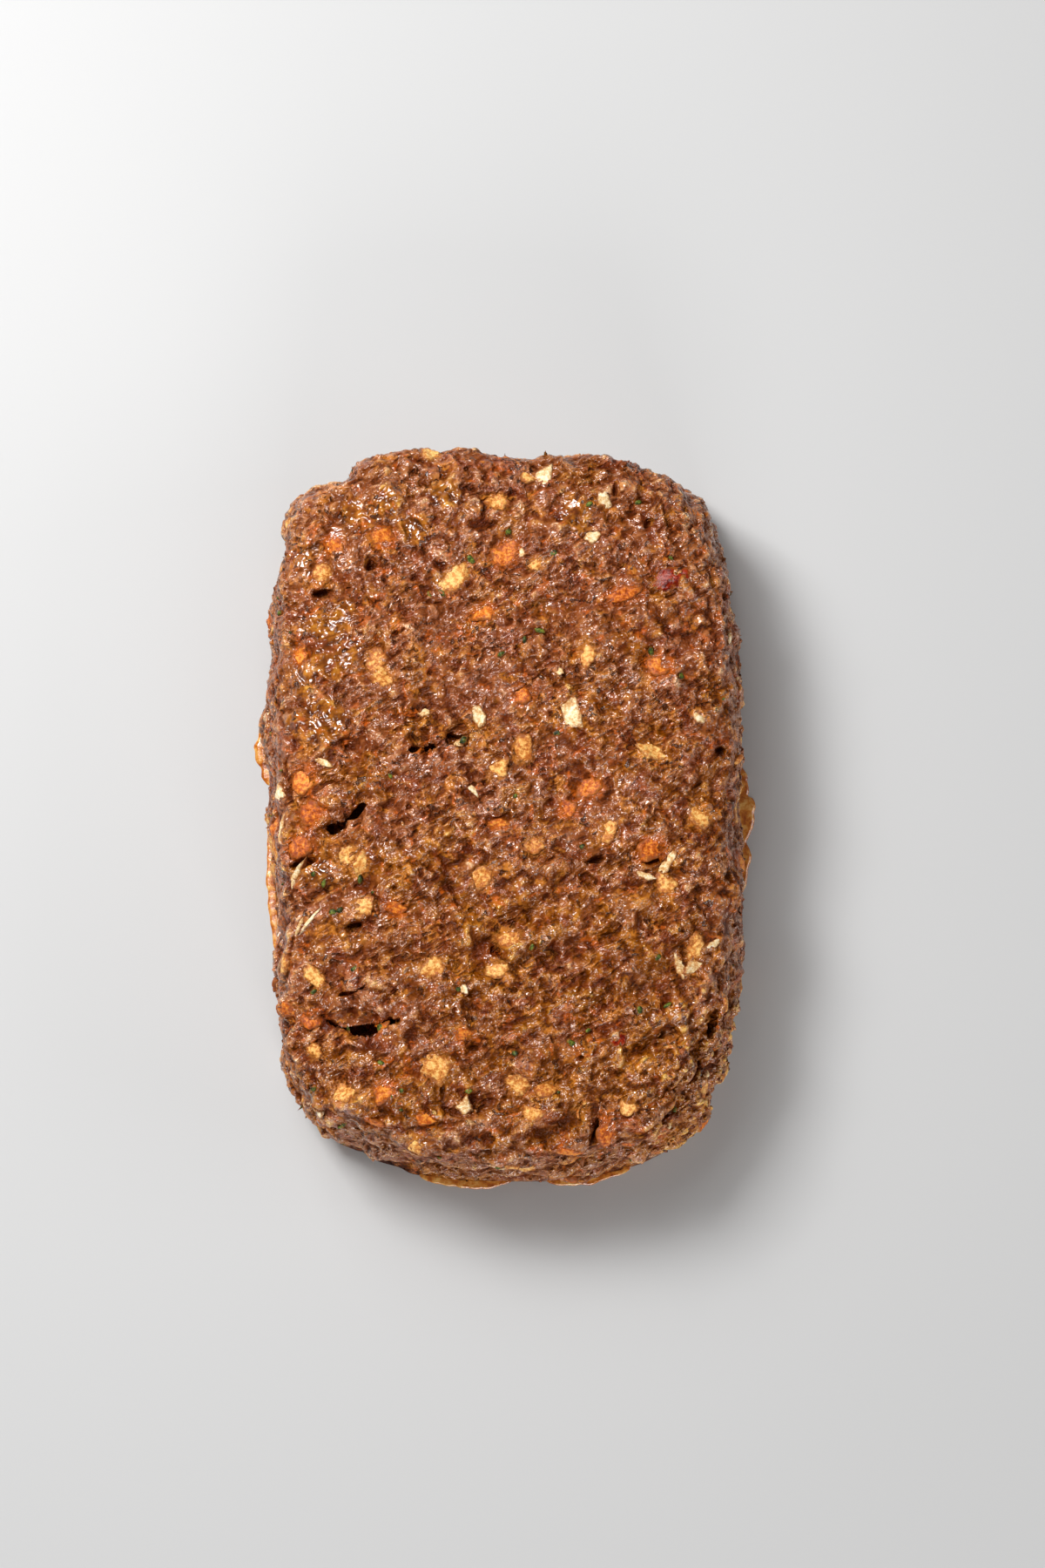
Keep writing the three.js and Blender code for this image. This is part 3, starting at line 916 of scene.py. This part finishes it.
def meat_material():
    """Mottled baked meat under a thin glaze of fat, which is thickest on the light lumps and in the pools."""
    shader = Shader("meat", 0.35, Specular_IOR_Level=0.1, Coat_Roughness=0.14, Coat_IOR=1.75)
    masks = shader.masks("masks")
    stains = shader.masks("stains")
    painted_shade_and_tone, browned, wet = masks
    torn = stains[2]
    crumbly = shader.spread(shader.noise(15, 2, 0.5, 0.8), 0.38, 0.6, 0.6, 1.1)
    fine = shader.noise(1.5, 1, 0.5, 0.4)
    fibre = shader.fibres(1.1, FURROW_TURN, 0.26)
    coarse = shader.noise(4, 1, 0.5, 0.6)
    grain = shader.noise(1.3, 3, 0.7)
    pits = shader.spread(shader.noise(2.3, 2, 0.5, 0.5), 0.6, 0.7)
    pits = shader.times(pits, shader.spread(shader.noise(11, 1, 0.5, 0.5), 0.4, 0.6, 0.2, 0.9))

    streaks = shader.plus(shader.times(fine, 0.3), shader.times(fibre, 0.4))
    streaks = shader.plus(streaks, shader.times(grain, 0.3))
    lightness = shader.times(shader.spread(streaks, 0.36, 0.64, -0.24, 0.22), crumbly)
    lightness = shader.plus(lightness, shader.spread(coarse, 0.3, 0.7, 0.34, 0.6))
    lightness = shader.minus(lightness, shader.times(browned, 0.07))
    lightness = shader.plus(lightness, shader.times(torn, 0.12))
    # Painted shade and light: the colour is darker where the tone marks creases and holes, and lighter on
    # lumps
    painted_relief_shading = shader.times(shader.minus(painted_shade_and_tone, 0.54), 1.3)
    lightness = shader.plus(lightness, painted_relief_shading, clamp=True)
    colour = meat_colour(shader, lightness, streaks, grain, pits, masks, stains)

    dry = shader.minus(1, shader.times(wet, 0.85))
    height = shader.plus(shader.times(fine, 0.5), shader.times(fibre, 0.55))
    height = shader.times(height, shader.times(crumbly, dry))
    height = shader.plus(height, shader.times(coarse, 0.9))
    height = shader.minus(height, shader.times(pits, 0.4))
    ripples = shader.times(shader.noise(5, 1, 0.5, 0.5), 1.2)
    height = shader.plus(height, shader.times(ripples, wet))
    shader.put(shader.surface.inputs["Coat Normal"], shader.bump(height, 2.5))

    rough = shader.spread(grain, 0.35, 0.65, 0.24, 0.42)
    glossy = shader.spread(shader.noise(9, 2, 0.5, 0.5), 0.38, 0.6, 0.6, 1)
    glaze = shader.times(shader.spread(lightness, 0.2, 0.48), glossy)
    return shader.finish(Base_Color=colour, Roughness=rough, Coat_Weight=shader.plus(wet, glaze, clamp=True))


def bit_material(name, stops, roughness, bump_mm):
    """A chopped piece: its own colour in the middle, stained by the meat towards its rim."""
    shader = Shader(name, roughness, Specular_IOR_Level=0.25)
    rim, tint, _ = shader.masks("tint")
    grain = shader.noise(1.2, 4, 0.75)
    light = shader.plus(shader.spread(grain, 0.34, 0.66, -0.1, 0.9), shader.times(tint, 0.45))
    light = shader.minus(light, shader.times(rim, 0.3), clamp=True)
    stain = shader.plus(rim, shader.times(shader.noise(1.8, 4, 0.75), 1.6))
    colour = shader.mix(shader.spread(stain, 1.4, 1.85), shader.ramp(light, stops), RIM_STAIN)
    shader.bump(grain, bump_mm)
    return shader.finish(Base_Color=colour)


def juice_material():
    """Orange brown juice with fat, in lighter and darker patches."""
    shader = Shader("juice", 0.12, Specular_IOR_Level=0.6, Coat_Weight=0.6, Coat_Roughness=0.06)
    patch = shader.noise(3, 4, 0.7)
    shader.bump(patch, 0.3)
    return shader.finish(Base_Color=shader.ramp(shader.spread(patch, 0.3, 0.7), JUICE_STOPS))


# ---------------------------------------------------------------- scene

def add_camera():
    """A long lens nearly straight above the loaf."""
    data = bpy.data.cameras.new("camera")
    data.lens = CAMERA_LENS
    camera = bpy.data.objects.new("camera", data)
    back = Vector((0, -math.sin(CAMERA_TILT), math.cos(CAMERA_TILT)))
    camera.location = (Vector(CAMERA_AIM) + back * CAMERA_DISTANCE) * METRES
    camera.rotation_mode = "QUATERNION"
    camera.rotation_quaternion = (-back).to_track_quat("-Z", "Y")
    bpy.context.scene.collection.objects.link(camera)
    bpy.context.scene.camera = camera


# Square lights that face the loaf: direction, distance and size in metres, and power in watts
LIGHTS = {
    "key": ((-0.48, 0.42, 0.77), 1.2, 0.4, 12.5),
    "window": ((-0.42, 0.5, 0.85), 1.2, 0.85, 8),
    "front_fill": ((0.1, -0.9, 0.3), 1.5, 0.8, 14),
    "right_fill": ((0.9, -0.1, 0.3), 1.5, 0.8, 6),
}
WORLD_COLOUR = (1, 0.985, 0.96, 1)
WORLD_STRENGTH = 0.1
FLOOR_REACH = 6
FLOOR_COLOUR = (190, 190, 190)


def add_light(name, direction, distance, size, power):
    data = bpy.data.lights.new(name, "AREA")
    data.size = size
    data.energy = power
    light = bpy.data.objects.new(name, data)
    away = Vector(direction).normalized()
    light.location = away * distance
    light.rotation_mode = "QUATERNION"
    light.rotation_quaternion = (-away).to_track_quat("-Z", "Y")
    bpy.context.scene.collection.objects.link(light)


def add_stage():
    """A pale floor, a key light and a larger, softer one from the back left, and weaker light all round."""
    mesh = bpy.data.meshes.new("floor")
    a = FLOOR_REACH
    mesh.from_pydata([(-a, -a, 0), (a, -a, 0), (a, a, 0), (-a, a, 0)], [], [(0, 1, 2, 3)])
    floor = bpy.data.objects.new("floor", mesh)
    mesh.materials.append(Shader("floor", 0.6).finish(Base_Color=linear(*FLOOR_COLOUR)))
    bpy.context.scene.collection.objects.link(floor)
    world = bpy.data.worlds.new("world")
    world.use_nodes = True
    background = world.node_tree.nodes["Background"]
    background.inputs["Color"].default_value = WORLD_COLOUR
    background.inputs["Strength"].default_value = WORLD_STRENGTH
    bpy.context.scene.world = world
    for name, (direction, distance, size, power) in LIGHTS.items():
        add_light(name, direction, distance, size, power)
    bpy.context.scene.view_settings.view_transform = "Standard"


def choose_bits(rng, tree, points, quads):
    """All the chopped pieces by kind: those listed, and more at random on the flanks and between."""
    bread = place_bits(tree, BREAD)
    carrot = place_bits(tree, CARROT)
    onion = place_bits(tree, ONION)
    pepper = place_bits(tree, PEPPER)
    flecks = [(x, y, rng.uniform(1.8, 3.2), rng.uniform(1.3, 2), rng.uniform(0, 180)) for x, y in HERB]
    herb = place_bits(tree, flecks)
    face_height = points[quads].mean(axis=1)[:, 2]
    flank = 1.0 * ((face_height < 0.8 * HEIGHT) & (face_height > 5))
    anywhere = 0.35 + flank
    bread += scatter_bits(rng, points, quads, flank, 34, (4, 8))
    carrot += scatter_bits(rng, points, quads, flank, 22, (3.5, 7))
    onion += scatter_bits(rng, points, quads, anywhere, 26, (2, 4.5))
    herb += scatter_bits(rng, points, quads, anywhere, 60, (0.8, 2.2))
    return bread, carrot, onion, pepper, herb


def meat_masks(points, painted_shade_and_tone, bread, carrot):
    """The meat's two colour attributes: tone of painted shade, browned and wet, and stained by bread, by
    carrot and torn.
    """
    browned = noise(points, 30, 13) + 0.5 * noise(points, 9, 14) + BROWNED_LEAN @ points.T
    browned = smoothstep(browned, -0.35, 0.6)
    bready = seat_share(points, bread, BREAD_HALO)
    orange = seat_share(points, carrot, CARROT_HALO)
    ones = np.ones(len(points))
    masks = np.column_stack([painted_shade_and_tone, browned, wet_share(points), ones])
    stains = np.column_stack([bready, orange, torn_share(points), ones])
    return masks, stains


def add_bits(rng, name, surface, bits, shape, material):
    """One mesh of chopped pieces of one kind, with the shape's numbers as bit_mesh takes them."""
    points, faces, tints = bit_mesh(rng, surface, bits, *shape)
    make_piece(name, points, faces, material, [("tint", tints)])


def main():
    add_camera()
    add_stage()
    rng = np.random.default_rng(RANDOM_SEED)
    points, quads, foot = smooth_loaf()
    normals = vertex_normals(points, quads)
    tree = BVHTree.FromPolygons(points.tolist(), quads.tolist())
    bread, carrot, onion, pepper, herb = choose_bits(rng, tree, points, quads)

    seats = seat_share(points, bread + carrot + onion)
    height, level, painted_shade_and_tone = meat_relief(points, quads, seats)
    raised = points + normals * (height * smoothstep(points[:, 2], 0, FOOT_BLEND))[:, None]
    over = np.maximum(raised[:, 2] - HEIGHT, 0)
    raised[:, 2] = np.maximum(raised[:, 2] - over + CROWN_RISE * np.tanh(over / CROWN_RISE), 0)
    masks, stains = meat_masks(points, painted_shade_and_tone, bread, carrot)
    meat = meat_material()
    faces = quads.tolist() + [foot[::-1].tolist()]
    loaf = make_piece("meat", raised, faces, meat, [("masks", masks), ("stains", stains)])
    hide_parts("loaf")

    # Shapes: rings, sectors, proud, skirt, lean, squareness, roughness
    surface = (tree, quads, level)
    bread_look = bit_material("bread", BREAD_STOPS, 0.4, 0.3)
    add_bits(rng, "bread_pieces", surface, bread, (9, 36, 0.5, 1.5, 0.9, 7, 0.3), bread_look)
    carrot_look = bit_material("carrot", CARROT_STOPS, 0.4, 0.3)
    add_bits(rng, "carrot_pieces", surface, carrot, (9, 36, 0.5, 1.5, 0.9, 6, 0.25), carrot_look)
    onion_look = bit_material("onion", ONION_STOPS, 0.4, 0.3)
    add_bits(rng, "onion_pieces", surface, onion, (9, 36, 0.5, 1.5, 0.6, 12, 0.12), onion_look)

    # Crumbs stand mostly on the torn corner, and not in holes, on chopped pieces or at the foot
    weights = 0.12 + 1.6 * torn_share(points) ** 2 + 0.1 * (points[:, 2] < 0.75 * HEIGHT)
    weights *= (points[:, 2] > 1.5) & (seats < 0.3) & (painted_shade_and_tone > 0.3)
    crumbs, crumb_faces, crumb_masks = scatter_grains(rng, raised, quads, weights[quads[:, 0]], GRAIN_COUNT)
    attributes = [("masks", crumb_masks), ("stains", np.zeros_like(crumb_masks))]
    make_piece("meat_grains", crumbs, crumb_faces, meat, attributes)
    film, film_faces = juice_film(points, foot)
    make_piece("juice_film", film, film_faces, juice_material())
    pepper_look = bit_material("pepper", PEPPER_STOPS, 0.2, 0.2)
    add_bits(rng, "pepper_pieces", surface, pepper, (8, 32, 0.6, 1.2, 0.5, 5, 0.3), pepper_look)
    herb_look = bit_material("herb", HERB_STOPS, 0.5, 0.1)
    add_bits(rng, "herb_flecks", surface, herb, (3, 10, 0.9, 0.3, 0.3, 5, 0.1), herb_look)


main()
